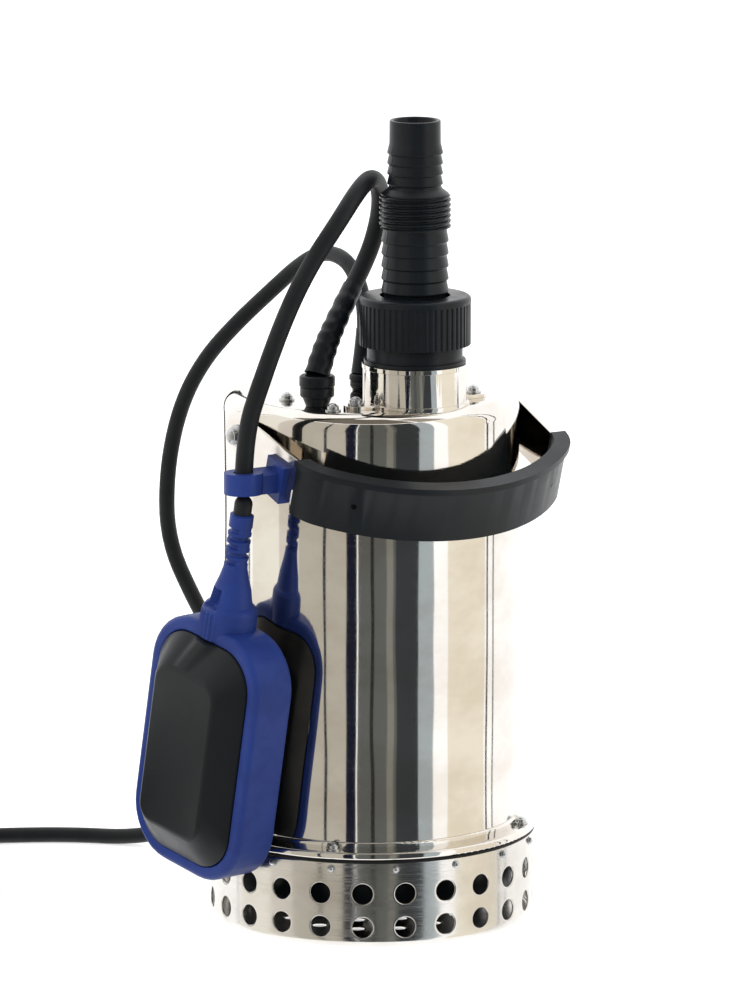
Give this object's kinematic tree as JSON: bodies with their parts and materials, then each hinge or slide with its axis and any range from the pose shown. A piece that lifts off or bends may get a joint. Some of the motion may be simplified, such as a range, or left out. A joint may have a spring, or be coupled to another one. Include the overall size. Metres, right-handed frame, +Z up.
{
  "type": "submersible pump",
  "caption": "Upright submersible drainage pump: stainless shell and strainer base, stepped hose tail, bail handle and tethered float switch.",
  "frame": {"origin": "centre of the strainer basket's underside, on the shell's axis", "axes": "+Z up along the shell; -Y to the front, where the outlet stands and the handle reaches; the handle pivots about X"},
  "size_m": [0.3973, 0.3624, 0.4068],
  "materials": {
    "steel_mirror": "polished stainless steel",
    "steel_satin": "drawn stainless steel",
    "steel_machined": "turned steel",
    "zinc": "bright screws",
    "plastic_black": "moulded plastic",
    "plastic_blue": "moulded blue plastic",
    "plastic_float": "soft moulded plastic",
    "cable_rubber": "rubber sheath",
    "seal_rubber": "rubber",
    "aluminium_cast": "cast",
    "laminations": "stacked sheets",
    "copper": "enamelled wire",
    "impeller_plastic": "filled plastic",
    "plug_brass": "nickelled pins",
    "ceramic": "ceramic face",
    "capacitor_can": "drawn can"
  },
  "bodies": {
    "pump": {"outer_shell": "steel_mirror", "discharge_spout": "steel_mirror", "adapter_body": "plastic_black", "hose_seal_ring": "seal_rubber", "hose_tail": "plastic_black", "strainer_basket": "steel_satin", "rim_rivets": "zinc", "flange_gasket": "seal_rubber", "base_flange": "steel_mirror", "base_ring": "steel_mirror", "flange_screws": "zinc", "pump_casing": "plastic_black", "suction_plate": "plastic_black", "suction_plate_screws": "zinc", "mechanical_seal_seat": "ceramic", "oil_chamber_cover": "aluminium_cast", "bearing_outer_rings": "steel_machined", "motor_can": "steel_satin", "stator_core": "laminations", "stator_windings": "copper", "upper_bracket": "aluminium_cast", "capacitor": "capacitor_can", "motor_lid": "plastic_black", "float_gland_body": "plastic_black", "float_gland_cap": "plastic_black", "mains_gland_body": "plastic_black", "mains_gland_cap": "plastic_black", "top_screws": "zinc", "inner_nuts": "zinc", "handle_pivot_screws": "zinc", "handle_pivot_bushes": "plastic_black", "float_cable_boot": "plastic_black", "float_cable": "cable_rubber", "mains_cable": "cable_rubber", "mains_coil": "cable_rubber", "coil_tie": "plastic_black", "mains_plug": "cable_rubber", "plug_pins": "plug_brass"},
    "handle": {"handle_strap": "steel_mirror", "handle_grip": "plastic_black", "grip_screws": "zinc", "cable_clip": "plastic_blue"},
    "float": {"float_band": "plastic_blue", "float_body_front": "plastic_float", "float_body_back": "plastic_float", "float_strain_relief": "plastic_blue", "float_cable_end": "cable_rubber", "float_switch_case": "plastic_black"},
    "rotor": {"impeller": "impeller_plastic", "impeller_nut": "steel_machined", "mechanical_seal_head": "ceramic", "bearing_inner_rings": "steel_machined", "bearing_balls": "steel_machined", "rotor_core": "laminations", "shaft": "steel_machined"},
    "collar": {"collar_nut": "plastic_black"},
    "switch_ball": {"float_switch_ball": "steel_machined"}
  },
  "joints": [
    {"name": "handle_swing", "type": "hinge", "parent": "pump", "child": "handle", "pos_m": [0, 0, 0.25], "axis": [-1, 0, 0], "range_deg": [0, 42], "deforming": ["float_cable"]},
    {"name": "float_swing", "type": "hinge", "parent": "handle", "child": "float", "pos_m": [-0.09471, -0.03647, 0.22349], "axis": [-0.1925, 0.9636, 0.1857], "range_deg": [0, 75]},
    {"name": "switch_ball_roll", "type": "slide", "parent": "float", "child": "switch_ball", "axis": [0.0364, -0.1821, 0.9826], "range_m": [0, 0.0118]},
    {"name": "rotor_spin", "type": "hinge", "parent": "pump", "child": "rotor", "pos_m": [0, 0, 0.1], "axis": [0, 0, 1], "continuous": true},
    {"name": "collar_spin", "type": "hinge", "parent": "pump", "child": "collar", "pos_m": [0, -0.042, 0.31], "axis": [0, 0, 1], "continuous": true}
  ]
}
